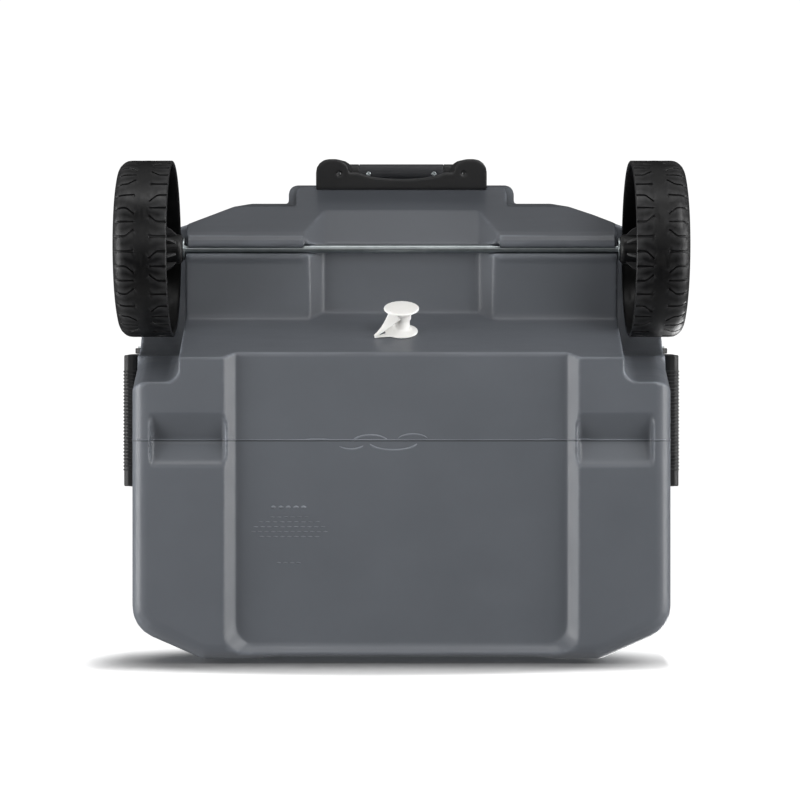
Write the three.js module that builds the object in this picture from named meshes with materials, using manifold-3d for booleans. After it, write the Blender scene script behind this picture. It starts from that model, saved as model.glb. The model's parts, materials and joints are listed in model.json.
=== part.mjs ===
// Wheeled cool box: an insulated chest on two large wheels, with a telescopic tow handle behind,
// a swinging carry handle on each side, a hinged lid with two latches and a tethered drain plug.
// Millimetres. +X is the box's left-hand side seen from behind, +Y is the wheel end, +Z is up.
import * as THREE from 'three';
import { mergeVertices } from 'three/addons/utils/BufferGeometryUtils.js';
import Module from 'manifold-3d';

const wasm = await Module();
wasm.setup();

// ---------------------------------------------------------------- driving dimensions
const RIM_Z = 505; // top edge of the moulded body
const LID_TOP_Z = 568;
const FIT_GAP = 0.3; // between pieces that touch
const SHELL_WALL = 3.5;

const HALF_WIDTH = 330; // of the body at the floor
const WIDTH_DRAFT = 17 / RIM_Z;
const FRONT_Y = -317.5;
const FRONT_DRAFT = 3 / RIM_Z;
const REAR_Y = 236;
const REAR_DRAFT = 0.081;
const PAD_FILLET = 18;

const AXLE = { y: 190.5, z: 111, radius: 5 };
const WHEEL = { radius: 111, inner: 287, outer: 354 };
const WELL = { radius: 140, y: 196, inner: 272, frontY: 22, lean: 0.3, corner: 20 };

const BLOCK_Z = 105; // underside of the raised rear, beside the channel
const CHANNEL = { halfWidth: 98, side: 42 }; // along the middle of the raised rear
const SHELF_Y = 52; // where the rear wall of the low floor meets the floor
const SHELF_SLOPE = 0.476; // millimetres of Y for each of Z
const SWEEP = { y: 207, slope: 1.64 }; // the underside behind the axle: Y it starts from, rise per Y

const BUMP = { halfWidth: 123.1, widthDraft: 0.071, y: 259.8, draft: 0.0856 };
const HOUSING_TILT = Math.atan(BUMP.draft); // the tow handle leans with the rear wall
const BAIL_Y = -27.6; // middle of the side handles
const BAIL_PIVOT = { x: 357, z: 418, y: 92 };

// ---------------------------------------------------------------- shape helpers
// A closed three.js geometry as a solid that can be joined and cut.
function toSolid(geometry) {
  const g = geometry.clone();
  g.deleteAttribute('normal');
  g.deleteAttribute('uv');
  const merged = mergeVertices(g, 1e-4);
  const vertProperties = new Float32Array(merged.attributes.position.array);
  const triVerts = new Uint32Array(merged.index.array);
  return new wasm.Manifold(new wasm.Mesh({ numProp: 3, vertProperties, triVerts }));
}

function toGeometry(solid) {
  const mesh = solid.getMesh();
  const positions = new Float32Array(mesh.numVert * 3);
  for (let i = 0; i < mesh.numVert; i++) {
    positions.set(mesh.vertProperties.subarray(i * mesh.numProp, i * mesh.numProp + 3), i * 3);
  }
  const g = new THREE.BufferGeometry();
  g.setAttribute('position', new THREE.BufferAttribute(positions, 3));
  g.setIndex(new THREE.BufferAttribute(new Uint32Array(mesh.triVerts), 1));
  g.computeVertexNormals();
  return g;
}

const join = (...solids) => solids.reduce((a, b) => a.add(b));
const cut = (solid, ...tools) => tools.reduce((a, b) => a.subtract(b), solid);
const place = (geometry, matrix) => toSolid(geometry.clone().applyMatrix4(matrix));

const AXIS_TURN = {
  x: new THREE.Matrix4().set(0, 0, 1, 0, 1, 0, 0, 0, 0, 1, 0, 0, 0, 0, 0, 1), // profile is (Y, Z)
  y: new THREE.Matrix4().set(1, 0, 0, 0, 0, 0, -1, 0, 0, 1, 0, 0, 0, 0, 0, 1), // profile is (X, Z)
  z: new THREE.Matrix4(), // profile is (X, Y)
};

// An outline extruded along an axis between two places on it.
function prism(points, axis, from, to) {
  const shape = new THREE.Shape(points.map(([u, v]) => new THREE.Vector2(u, v)));
  const g = new THREE.ExtrudeGeometry(shape, { depth: to - from, bevelEnabled: false });
  g.translate(0, 0, axis === 'y' ? -to : from);
  return place(g, AXIS_TURN[axis]);
}

// The same outline as a plain geometry, between two places on its own third axis.
function prismGeometry(points, from, to) {
  const shape = new THREE.Shape(points.map(([u, v]) => new THREE.Vector2(u, v)));
  return new THREE.ExtrudeGeometry(shape, { depth: to - from, bevelEnabled: false })
    .translate(0, 0, from);
}

function box(x0, x1, y0, y1, z0, z1) {
  return prism([[x0, y0], [x1, y0], [x1, y1], [x0, y1]], 'z', z0, z1);
}

// A round bar along an axis, centred at (u, v) in the order that prism's profile uses.
function rod(radius, axis, u, v, from, to, sides = 16) {
  const g = new THREE.CylinderGeometry(radius, radius, to - from, sides);
  g.rotateX(Math.PI / 2);
  g.translate(u, v, axis === 'y' ? -(from + to) / 2 : (from + to) / 2);
  return place(g, AXIS_TURN[axis]);
}

// Corners [x, y, radius] to a run of points, with each corner rounded by an arc.
function rounded(corners, steps = 3) {
  const points = [];
  corners.forEach(([x, y, r = 0], i) => {
    const corner = new THREE.Vector2(x, y);
    if (!r) {
      points.push([x, y]);
      return;
    }
    const before = corners[(i + corners.length - 1) % corners.length];
    const after = corners[(i + 1) % corners.length];
    const a = new THREE.Vector2(before[0], before[1]).sub(corner).normalize();
    const b = new THREE.Vector2(after[0], after[1]).sub(corner).normalize();
    const half = Math.acos(THREE.MathUtils.clamp(a.dot(b), -1, 1)) / 2;
    const centre = corner.clone().addScaledVector(a.clone().add(b).normalize(), r / Math.sin(half));
    const start = corner.clone().addScaledVector(a, r / Math.tan(half)).sub(centre);
    const turn = Math.sign(a.cross(b)) * (Math.PI - 2 * half);
    for (let k = 0; k <= steps; k++) {
      const p = start.clone().rotateAround(new THREE.Vector2(), (-turn * k) / steps).add(centre);
      points.push([p.x, p.y]);
    }
  });
  return points;
}

// Outlines with the same number of points, each at its own height, skinned into one solid.
function stack(rings) {
  const n = rings[0].points.length;
  const positions = rings.flatMap(({ z, points }) => points.flatMap(([x, y]) => [x, y, z]));
  const index = [];
  for (let r = 0; r < rings.length - 1; r++) {
    for (let i = 0; i < n; i++) {
      const [a, b] = [r * n + i, r * n + ((i + 1) % n)];
      index.push(a, b, b + n, a, b + n, a + n);
    }
  }
  const cap = (ring) => THREE.ShapeUtils.triangulateShape(
    ring.points.map(([x, y]) => new THREE.Vector2(x, y)), []);
  cap(rings[0]).forEach(([a, b, c]) => index.push(a, c, b));
  const top = (rings.length - 1) * n;
  cap(rings[rings.length - 1]).forEach(([a, b, c]) => index.push(top + a, top + b, top + c));
  const g = new THREE.BufferGeometry();
  g.setAttribute('position', new THREE.Float32BufferAttribute(positions, 3));
  g.setIndex(index);
  return toSolid(g);
}

// Outline of a strip that follows a path.
function ribbon(path, thickness) {
  const offset = (side) => path.map(([x, y], i) => {
    const [x0, y0] = path[Math.max(i - 1, 0)];
    const [x1, y1] = path[Math.min(i + 1, path.length - 1)];
    const n = new THREE.Vector2(y1 - y0, x0 - x1).setLength((side * thickness) / 2);
    return [x + n.x, y + n.y];
  });
  return [...offset(1), ...offset(-1).reverse()];
}

const closed = (profile) => [...profile, profile[0]];
const mirrored = (half) => [...half, ...half.map(([x, y, r]) => [-x, y, r]).reverse()];
const rectangle = (x, halfX, y, halfY) =>
  [[x - halfX, y - halfY], [x + halfX, y - halfY], [x + halfX, y + halfY], [x - halfX, y + halfY]];

// ---------------------------------------------------------------- materials
function plastic(color, roughness = 0.55) {
  return new THREE.MeshStandardMaterial({ color, roughness, metalness: 0 });
}
const metal = (color, roughness) =>
  new THREE.MeshStandardMaterial({ color, roughness, metalness: 0.95 });
const MATERIAL = {
  grey: plastic(0x565a5f, 0.5),
  lidGrey: plastic(0x4c5055, 0.5),
  black: plastic(0x1b1b1d, 0.45),
  tyre: plastic(0x151516, 0.6),
  rubber: plastic(0x202124, 0.8),
  white: plastic(0xe9e8e4, 0.35),
  foam: plastic(0xd9c79a, 0.95),
  steel: metal(0xb8bcc0, 0.3),
  aluminium: metal(0x9a9da1, 0.35),
};

const model = new THREE.Group();

function add(name, solid, material, parent = model) {
  const mesh = new THREE.Mesh(toGeometry(solid), material);
  mesh.name = name;
  parent.add(mesh);
  return mesh;
}
const SIDES = [['left', 1], ['right', -1]];
const flip = (solid, side) => (side > 0 ? solid : solid.mirror([1, 0, 0]));

// ---------------------------------------------------------------- body
// Plan of the body at a height, drawn inwards by t.
function bodyPlan(z, t = 0) {
  const w = HALF_WIDTH + WIDTH_DRAFT * z - t;
  const front = FRONT_Y - FRONT_DRAFT * z + t;
  const rear = REAR_Y + REAR_DRAFT * z - t;
  return rounded(mirrored([
    [243 - 0.2 * t, front, 14],
    [w, front + 38, 40 - 0.5 * t],
    [w, rear - 45, 42 - 0.5 * t],
    [214 - 0.2 * t, rear, 14],
  ]), 4);
}

function bumpPlan(z, t = 0) {
  const w = BUMP.halfWidth + BUMP.widthDraft * z - t;
  const rear = BUMP.y + BUMP.draft * z - t;
  return rounded(mirrored([[w, 200, 0], [w, rear, 12 - 0.5 * t]]));
}

// A wheel well's plan at a height: open behind and outside, with a front wall that leans rearwards.
function wellPlan(z, t) {
  const [cx, cy] = [HALF_WIDTH + WIDTH_DRAFT * z - WELL.corner, WELL.lean * z];
  const reach = WELL.corner - t;
  const front = cy + WELL.frontY - t;
  const nose = [0, 20, 40, 60, 80].map((deg) => (deg * Math.PI) / 180)
    .map((a) => [cx + reach * Math.sin(a), front - reach * (1 - Math.cos(a))]);
  return rounded([
    [OUTSIDE, OUTSIDE], [WELL.inner - t, OUTSIDE], [WELL.inner - t, front, 16], ...nose,
    [OUTSIDE, nose[4][1]],
  ]);
}

// The channel along the middle of the raised rear: level, then rising to meet the slope behind.
function channelTool(t) {
  const floor = [[87, 122], [198, 124], [246, 167], [262, 181.3]];
  const { halfWidth, side } = CHANNEL;
  const rings = floor.map(([y, z]) => ({
    z: y,
    points: [
      [-halfWidth - side - 0.4 * t, side - z - t], [-halfWidth - 0.4 * t, -z - t],
      [halfWidth + 0.4 * t, -z - t], [halfWidth + side + 0.4 * t, side - z - t],
    ],
  }));
  return stack(rings).rotate([-90, 0, 0]);
}

// The low floor between the two skids is hollowed, with rounded corners at the front.
function floorPanelTool(t) {
  const ring = (z, halfWidth, front) => ({
    z,
    points: rounded([
      [halfWidth, front, 26], [halfWidth, 75], [-halfWidth, 75], [-halfWidth, front, 26],
    ], 4),
  });
  return stack([ring(-2, 219 + t, -314), ring(12 + t, 203 + 0.4 * t, -300 - 0.4 * t)]);
}

// The foot of the front wall steps back a little between the skids.
function frontSetbackTool(t) {
  return stack([[-5, 5], [80, -1.5]].map(([z, depth]) => ({
    z,
    points: [
      [-205, -340], [205, -340], [205, FRONT_Y - 1.5 + t], [160, FRONT_Y + depth + t],
      [-160, FRONT_Y + depth + t], [-205, FRONT_Y - 1.5 + t],
    ],
  })));
}

// The body as a full block, with every outside surface moved inwards by t.
const OUTSIDE = 420;
function bodyBlock(t, top) {
  const fillet = [0, 0.25, 0.5, 0.75, 1].map((s) => (s * Math.PI) / 2).map((a) => ({
    z: t + (PAD_FILLET - t / 2) * (1 - Math.cos(a)),
    points: bodyPlan(0, t + (PAD_FILLET - t / 2) * (1 - Math.sin(a))),
  }));
  const block = stack([...fillet, { z: top, points: bodyPlan(top, t) }]);
  const bump = stack([90, top].map((z) => ({ z, points: bumpPlan(z, t) })));

  // Everything under the raised rear: up the rear wall of the low floor, level, then up behind.
  const foot = SHELF_Y - t * 1.1;
  const undercut = prism(rounded([
    [foot - SHELF_SLOPE * 10, -10],
    [foot + SHELF_SLOPE * (BLOCK_Z + t), BLOCK_Z + t, 8],
    [SWEEP.y - t * 0.3, BLOCK_Z + t, 22],
    [OUTSIDE, BLOCK_Z + t + (OUTSIDE - SWEEP.y) * SWEEP.slope],
    [OUTSIDE, -10],
  ], 4), 'x', -OUTSIDE, OUTSIDE);
  const behindShelf = prism([
    [foot + SHELF_SLOPE * 80, 80], [OUTSIDE, 80], [OUTSIDE, 260], [foot + SHELF_SLOPE * 260, 260],
  ], 'x', -160, 160);

  const tools = [
    undercut, channelTool(t).intersect(behindShelf), floorPanelTool(t), frontSetbackTool(t),
  ];
  for (const [, side] of SIDES) {
    tools.push(
      flip(rod(WELL.radius + t, 'x', WELL.y, AXLE.z, WELL.inner - t, OUTSIDE, 40), side),
      flip(stack([-10, AXLE.z].map((z) => ({ z, points: wellPlan(z, t) }))), side),
      // Finger scoop across each skid.
      flip(prism([
        [-13, -3], [-16 + t, t], [-46 + t, 14 + t], [-53 - t, 14 + t], [-74 - t, 5 + t],
        [-84 - t, -3],
      ], 'x', 216 - t, 307 + t), side),
      // Hand pocket behind each side handle.
      flip(stack([[285 - t, 334, 70], [305 - t, 316, 62], [392 + t, 320, 62]].map(
        ([z, x, halfLength]) => ({
          z,
          points: [[x - t, BAIL_Y - halfLength - t], [OUTSIDE, BAIL_Y - halfLength - 10 - t],
            [OUTSIDE, BAIL_Y + halfLength + 10 + t], [x - t, BAIL_Y + halfLength + t]],
        }))), side),
      // Recess for each latch at the top of the front wall.
      flip(box(112 - t, 188 + t, -OUTSIDE, FRONT_Y + 15 + t, RIM_Z - 72 - t, RIM_Z + 10), side),
    );
  }
  // Recess in the bump that takes the tow handle's housing.
  const recess = (z) => BUMP.y + BUMP.draft * z - 5 - t;
  tools.push(stack([120, top + 5].map((z) => ({
    z,
    points: [[-112 - t, recess(z)], [112 + t, recess(z)], [112 + t, OUTSIDE], [-112 - t, OUTSIDE]],
  }))));
  return cut(join(block, bump), ...tools);
}

// Snap grooves that hold the axle in the two blocks beside the channel.
const GROOVE = { halfWidth: 5.5, top: AXLE.z + AXLE.radius + FIT_GAP };
function axleGroove(grow) {
  const [h, top] = [GROOVE.halfWidth + grow, GROOVE.top + grow];
  return prism([
    [AXLE.y - h, 90], [AXLE.y + h, 90], [AXLE.y + h, top - 3], [AXLE.y + h - 3, top],
    [AXLE.y - h + 3, top], [AXLE.y - h, top - 3],
  ], 'x', -WELL.inner - 20, WELL.inner + 20);
}

// A lip over the rear half of each groove and a low strip along its front edge.
function axleRibs() {
  const lip = prism([
    [AXLE.y + 1.3, BLOCK_Z + 0.5], [AXLE.y + 1.3, BLOCK_Z - 2], [AXLE.y + 4, BLOCK_Z - 4.2],
    [AXLE.y + 9, BLOCK_Z - 4.2], [AXLE.y + 17, BLOCK_Z + 1.2], [AXLE.y + 6.5, BLOCK_Z + 1.2],
    [AXLE.y + 6.5, BLOCK_Z + 0.5],
  ], 'x', 124, 268);
  const strip = prism([
    [AXLE.y - 16, BLOCK_Z + 0.5], [AXLE.y - 14.5, BLOCK_Z - 1], [AXLE.y - 6, BLOCK_Z - 1],
    [AXLE.y - 6, BLOCK_Z + 0.5],
  ], 'x', 124, 268);
  return SIDES.flatMap(([, side]) => [flip(lip, side), flip(strip, side)]);
}

// The drain sits square on the sloping rear wall of the low floor.
const DRAIN = { z: 68, tilt: Math.atan(1 / SHELF_SLOPE) };
DRAIN.y = SHELF_Y + SHELF_SLOPE * DRAIN.z;
// Local +Z of the drain points out of the wall, rearwards and down.
const drainFrame = new THREE.Matrix4()
  .makeTranslation(0, DRAIN.y, DRAIN.z)
  .multiply(new THREE.Matrix4().makeRotationX(-Math.PI / 2 - (Math.PI / 2 - DRAIN.tilt)));
const drainPiece = (profile, sides = 20) => {
  const g = new THREE.LatheGeometry(profile.map(([r, z]) => new THREE.Vector2(r, z)), sides);
  g.rotateX(Math.PI / 2);
  return place(g, drainFrame);
};
const drainHole = (r, depth) => drainPiece([[0, -depth], [r, -depth], [r, 40], [0, 40]]);

const outerSkin = join(cut(bodyBlock(0, RIM_Z), axleGroove(0)), ...axleRibs());
const innerSkin = cut(bodyBlock(SHELL_WALL, RIM_Z + 5), axleGroove(SHELL_WALL));
add('outer_shell', cut(outerSkin, innerSkin, drainHole(11.5, 30)), MATERIAL.grey);

// ---------------------------------------------------------------- liner and foam
const TUB = { halfWidth: 276, rearHalfWidth: 232, front: -262, rear: 222 };
const TUB_FLOOR_Z = 62;
const TUB_SHELF_Z = 176;
// The tub's volume, drawn inwards by t: a deep front well and a raised rear floor.
function tubBlock(t, top) {
  const plan = (w, y0, y1, r, z) => {
    const k = 0.035 * (z - RIM_Z);
    return rounded([
      [-w - k + t, y0 - k + t, r], [w + k - t, y0 - k + t, r],
      [w + k - t, y1 + k - t, r], [-w - k + t, y1 + k - t, r],
    ], 2);
  };
  const level = (w, y0, y1, r) => (z) => ({ z, points: plan(w, y0, y1, r, z) });
  const upper = stack([295 + t, top].map(level(TUB.halfWidth, TUB.front, TUB.rear, 36)));
  const front = stack([TUB_FLOOR_Z + t, 310].map(level(TUB.halfWidth - 1, TUB.front + 1, 12, 30)));
  const middle = stack([TUB_SHELF_Z + t, 310].map(level(TUB.rearHalfWidth, -100, TUB.rear - 1, 30)));
  return join(upper, front, middle);
}
const LINER_WALL = 2.5;
const linerFlange = stack([RIM_Z + FIT_GAP, RIM_Z + 3].map((z) => ({
  z,
  points: bodyPlan(RIM_Z, 1.5),
})));
const latchNotch = (side, grow) => flip(
  box(112 - grow, 188 + grow, -420, FRONT_Y + 15 + grow, RIM_Z - 60, RIM_Z + 80), side);
// The drain runs through the foam to the tub along its own axis.
const drainTube = (r, from, to) => drainPiece([[0, from], [r, from], [r, to], [0, to]], 20);
const linerSolid = join(tubBlock(0, RIM_Z + 3), linerFlange);
add('inner_liner', cut(linerSolid, tubBlock(LINER_WALL, RIM_Z + 10), drainTube(9.5, -125, 10),
  latchNotch(1, 0.5), latchNotch(-1, 0.5)), MATERIAL.white);

const FOAM_INSET = SHELL_WALL + 1.2;
const foamOutside = cut(bodyBlock(FOAM_INSET, RIM_Z - 2), axleGroove(FOAM_INSET));
add('foam_core', cut(foamOutside, tubBlock(-FIT_GAP, RIM_Z + 10), drainTube(12, -120, 10)),
  MATERIAL.foam);

// ---------------------------------------------------------------- drain
add('drain_spout', drainPiece(closed([
  [7, -86], [11, -86], [11, 0.4], [20.5, 0.4], [20.5, 2.4], [17.5, 3.8], [13, 5.2], [10.4, 8],
  [10.4, 29.5], [7, 29.5],
])), MATERIAL.white);
add('drain_cap', drainPiece([
  [0, 12], [6.6, 12], [6.6, 29.9], [10.8, 29.9], [10.8, 18], [11.9, 18], [12.3, 24], [14, 28.2],
  [18.5, 30.4], [22, 31.4], [22, 32.8], [20.5, 33.6], [13, 34], [0, 34.2],
]), MATERIAL.white);
// The strap runs from the cap's rim down to the wall, folds and comes back to the flange.
const strapPath = [[22.9, 32], [26, 30.4], [31, 19], [38, 3.4], [36.5, 1.7], [30, 1.3], [21.2, 1.3]];
const STRAP_TURN = 0.35;
add('drain_tether', place(prismGeometry(ribbon(strapPath, 1.7), -3.5, 3.5), drainFrame.clone()
  .multiply(new THREE.Matrix4().makeRotationZ(STRAP_TURN)).multiply(AXIS_TURN.y)), MATERIAL.white);

// ---------------------------------------------------------------- axle and wheels
add('axle', rod(AXLE.radius, 'x', AXLE.y, AXLE.z, -349, 349, 16), MATERIAL.steel);

// Round pieces of a wheel: [radius, X] profiles turned about the axle.
function turned(profile, sides = 24) {
  const g = new THREE.LatheGeometry(profile.map(([r, x]) => new THREE.Vector2(r, x)), sides);
  g.rotateZ(-Math.PI / 2);
  g.translate(0, AXLE.y, AXLE.z);
  return toSolid(g);
}
const BORE = AXLE.radius + 0.35;
const RIB_COUNT = 8;
function wheelSolid() {
  const { radius, inner, outer } = WHEEL;
  let solid = turned(closed([
    [BORE, 276], [17, 276], [19, 280], [21, 330], [60, 338], [100, 338], [106, 330],
    [106, inner], [radius - 1, inner], [radius, inner + 1.5], [radius, outer - 11],
    [radius - 3, outer - 4], [radius - 9, outer], [radius - 24, outer - 1],
    [60, 343], [34, 344], [33, 334.5], [BORE, 334.5],
  ]), 36);
  for (let k = 0; k < RIB_COUNT; k++) {
    const turn = new THREE.Matrix4().makeTranslation(0, AXLE.y, AXLE.z)
      .multiply(new THREE.Matrix4().makeRotationX(((k + 0.5) * 2 * Math.PI) / RIB_COUNT));
    const web = prismGeometry([[284, 18], [339, 18], [339, 107], [322, 107], [320, 60]], -2, 2);
    solid = solid.add(place(web, turn.multiply(AXIS_TURN.y)));
  }
  return solid;
}
const wheel = wheelSolid();
const hubCap = turned([
  [0, 350.5], [26, 350.5], [26, 344.4], [32.5, 344.4], [32.5, 350], [29, 356], [12, 359],
  [0, 359.5],
]);
const pushNut = turned(closed([
  [AXLE.radius + 0.2, 335], [13, 335], [13, 337], [9, 339], [AXLE.radius + 0.2, 339],
]), 16);
const spacer = turned(closed([[BORE, 273], [14, 273], [14, 275.6], [BORE, 275.6]]), 16);
for (const [label, side] of SIDES) {
  add(`wheel_${label}`, flip(wheel, side), MATERIAL.tyre);
  add(`hub_cap_${label}`, flip(hubCap, side), MATERIAL.black);
  add(`push_nut_${label}`, flip(pushNut, side), MATERIAL.steel);
  add(`wheel_spacer_${label}`, flip(spacer, side), MATERIAL.steel);
}

// ---------------------------------------------------------------- side handles
const wallX = (z) => HALF_WIDTH + WIDTH_DRAFT * z;
const GRIP = { x: 363, z: 332, halfLength: 88 };
const EYE_Y = BAIL_PIVOT.y - 6; // how far each eye is from the handle's middle

// A swinging handle: a grip, two arms that narrow upwards and an eye at the top of each.
function bailSolid() {
  const { x, z } = BAIL_PIVOT;
  let solid = prism(rounded([
    [GRIP.x - 9, GRIP.z - 12, 6], [GRIP.x + 9.5, GRIP.z - 12, 6],
    [GRIP.x + 9.5, GRIP.z + 12, 6], [GRIP.x - 9, GRIP.z + 12, 6],
  ], 2), 'y', BAIL_Y - GRIP.halfLength, BAIL_Y + GRIP.halfLength);
  for (const end of [1, -1]) {
    const arm = stack([
      { z: GRIP.z, points: rectangle(GRIP.x, 9, BAIL_Y + end * (GRIP.halfLength - 7), 7) },
      { z: GRIP.z + 40, points: rectangle(GRIP.x - 1, 7.5, BAIL_Y + end * (EYE_Y - 2), 6) },
      { z: z - 2, points: rectangle(x, 8, BAIL_Y + end * EYE_Y, 5) },
    ]);
    const eyeY = BAIL_Y + end * EYE_Y;
    solid = join(solid, arm, rod(9, 'y', x, z, eyeY - 5, eyeY + 5, 16));
  }
  return cut(solid, rod(3.2, 'y', x, z, BAIL_Y - 120, BAIL_Y + 120, 12));
}

// A pad on the wall that carries one cheek outside the handle's eye; end is +1 at the rear.
function bracketSolid(end) {
  const { x, z } = BAIL_PIVOT;
  const between = (a, b) => [a, b].map((d) => BAIL_Y + end * d).sort((p, q) => p - q);
  const [y0, y1] = between(EYE_Y + 5.5, EYE_Y + 21);
  const pad = stack([z - 26, z + 26].map((h) => ({
    z: h,
    points: rectangle(wallX(h) + FIT_GAP + 2.4, 2.4, (y0 + y1) / 2, (y1 - y0) / 2),
  })));
  const cheek = prism(rounded([
    [wallX(z) + 2, z - 17], [x + 9, z - 10, 7], [x + 9, z + 10, 7], [wallX(z) + 2, z + 17],
  ], 3), 'y', ...between(EYE_Y + 5.5, EYE_Y + 13));
  return cut(join(pad, cheek), rod(3.2, 'y', x, z, ...between(EYE_Y - 20, EYE_Y + 30), 12));
}
function pinSolid(end) {
  const { x, z } = BAIL_PIVOT;
  const between = (a, b) => [a, b].map((d) => BAIL_Y + end * d).sort((p, q) => p - q);
  return join(rod(2.9, 'y', x, z, ...between(EYE_Y - 6, EYE_Y + 14), 12),
    rod(5.5, 'y', x, z, ...between(EYE_Y + 13.4, EYE_Y + 15.5), 12));
}
for (const [label, side] of SIDES) {
  add(`side_handle_${label}`, flip(bailSolid(), side), MATERIAL.black);
  for (const [end, sign] of [['rear', 1], ['front', -1]]) {
    add(`handle_bracket_${label}_${end}`, flip(bracketSolid(sign), side), MATERIAL.black);
    add(`handle_pin_${label}_${end}`, flip(pinSolid(sign), side), MATERIAL.steel);
  }
}

// ---------------------------------------------------------------- tow handle
// Drawn in its own frame: y out from the wall, z up along the leaning wall.
const TOW_FOOT_Z = 178;
const towFrame = new THREE.Matrix4()
  .makeTranslation(0, BUMP.y + BUMP.draft * TOW_FOOT_Z - 5, TOW_FOOT_Z)
  .multiply(new THREE.Matrix4().makeRotationX(-HOUSING_TILT));
const inTow = (solid) => solid.transform([...towFrame.elements]);
const COLUMN = { inner: 67.5, outer: 110, depth: 40, height: 296, bore: 13.8 };
const TUBE = { x: 88.8, y: 21, midRadius: 13.3, innerRadius: 11.4, wall: 1.6 };
const TOW_GRIP = { z0: 298.5, z1: 326, y0: 13.5, y1: 34.5, sleeve: 59 };

function towHousing() {
  let solid = prism([[69, 0.3], [69, 6], [-69, 6], [-69, 0.3]], 'z', 0, 285);
  solid = solid.add(prism([[69, 0.3], [69, 23], [-69, 23], [-69, 0.3]], 'z', 0, 16));
  for (const side of [1, -1]) {
    const column = prism(rounded([
      [COLUMN.inner, 0.3, 1], [COLUMN.inner, COLUMN.depth, 17],
      [COLUMN.outer, COLUMN.depth, 17], [COLUMN.outer, 0.3, 1],
    ], 4), 'z', 0, COLUMN.height);
    const bore = rod(COLUMN.bore, 'z', TUBE.x, TUBE.y, 8, COLUMN.height + 5, 20);
    const drip = rod(2.6, 'z', 80, 21.6, -5, 12, 12);
    solid = cut(solid.add(flip(column, side)), flip(bore, side), flip(drip, side));
  }
  // Finger scoop along the foot plate's edge, deepest in the middle.
  const scoop = prism([...Array(9).keys()].map((k) => {
    const a = Math.PI * (k / 8);
    return [56 * Math.cos(a), 25 - 10.5 * Math.sin(a)];
  }).concat([[-56, 30], [56, 30]]), 'z', -5, 20);
  return cut(solid, scoop);
}
function tube(radius, z0, z1) {
  return cut(rod(radius, 'z', TUBE.x, TUBE.y, z0, z1, 20),
    rod(radius - TUBE.wall, 'z', TUBE.x, TUBE.y, z0 - 1, z1 + 1, 20));
}
const gripSection = (grow) => [
  [TOW_GRIP.y0 - grow, TOW_GRIP.z0 - grow], [TOW_GRIP.y1 + grow, TOW_GRIP.z0 - grow],
  [TOW_GRIP.y1 + grow, TOW_GRIP.z1 + grow], [TOW_GRIP.y0 - grow, TOW_GRIP.z1 + grow],
].map(([y, z]) => [y, z, 7.5 + grow]);
function towGripCore() {
  let solid = prism(rounded(gripSection(-3), 3), 'x', -66, 66);
  for (const side of [1, -1]) {
    const end = prism(rounded(gripSection(0), 3), 'x', TOW_GRIP.sleeve + 0.4, 106);
    const spigot = rod(TUBE.innerRadius - TUBE.wall - 0.3, 'z', TUBE.x, TUBE.y, 270, 300, 20);
    solid = join(solid, flip(end, side), flip(spigot, side));
    solid = cut(solid, flip(rod(2.2, 'z', 45.8, 21, 280, 303.5, 12), side));
  }
  const well = box(-17, 17, 18, 30, TOW_GRIP.z1 - 14, TOW_GRIP.z1 + 5);
  return cut(solid, well);
}
function towSleeve() {
  const { sleeve, z1 } = TOW_GRIP;
  const body = prism(rounded(gripSection(0), 3), 'x', -sleeve, sleeve);
  const hollow = prism(rounded(gripSection(-2.7), 3), 'x', -sleeve - 1, sleeve + 1);
  const screwHoles = [1, -1].map((side) => flip(rod(3.7, 'z', 45.8, 21, 280, 304, 16), side));
  return cut(body, hollow, box(-18, 18, 17, 31, z1 - 6, z1 + 5), ...screwHoles);
}
add('tow_housing', inTow(towHousing()), MATERIAL.black);
for (const [label, side] of SIDES) {
  add(`tow_tube_mid_${label}`, inTow(flip(tube(TUBE.midRadius, 10, 297.5), side)),
    MATERIAL.aluminium);
  add(`tow_tube_inner_${label}`, inTow(flip(tube(TUBE.innerRadius, 12, 298.1), side)),
    MATERIAL.aluminium);
}
add('tow_grip_core', inTow(towGripCore()), MATERIAL.black);
add('tow_grip_sleeve', inTow(towSleeve()), MATERIAL.rubber);
for (const [label, side] of SIDES) {
  const screw = join(rod(1.9, 'z', 45.8, 21, 299, 303, 12),
    rod(3.3, 'z', 45.8, 21, 298.6, 301.1, 16));
  add(`tow_grip_screw_${label}`, inTow(flip(screw, side)), MATERIAL.steel);
}
add('tow_button', inTow(join(box(-16.4, 16.4, 18.5, 29.5, 317, 327.5))), MATERIAL.black);

// ---------------------------------------------------------------- lid
const LID_FOOT_Z = 509.6;
const lidRing = (z, t) => ({ z, points: bodyPlan(RIM_Z, t) });
function lidBlock(t) {
  return stack([
    lidRing(t ? LID_FOOT_Z - 5 : LID_FOOT_Z, t - 1), lidRing(LID_TOP_Z - 20 - t, t + 1),
    lidRing(LID_TOP_Z - 6 - t, t + 7), lidRing(LID_TOP_Z - t, t + 20),
  ]);
}
const LID_WALL = 3;
add('lid_shell', cut(lidBlock(0), lidBlock(LID_WALL)), MATERIAL.lidGrey);
const PAN = { z: 511.4, plugZ: 492, wall: 2.5 };
const panPlug = (t, z0, z1) => tubBlock(6 + t, RIM_Z + 20).intersect(box(-400, 400, -400, 400, z0, z1));
const panFlange = stack([PAN.z, PAN.z + PAN.wall].map((z) => lidRing(z, LID_WALL + 1)));
const panSolid = cut(join(panFlange, panPlug(0, PAN.plugZ, PAN.z + 1)),
  panPlug(PAN.wall, PAN.plugZ + PAN.wall, PAN.z + 10));
add('lid_pan', panSolid, MATERIAL.white);
const foamTop = lidBlock(LID_WALL + 1);
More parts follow.
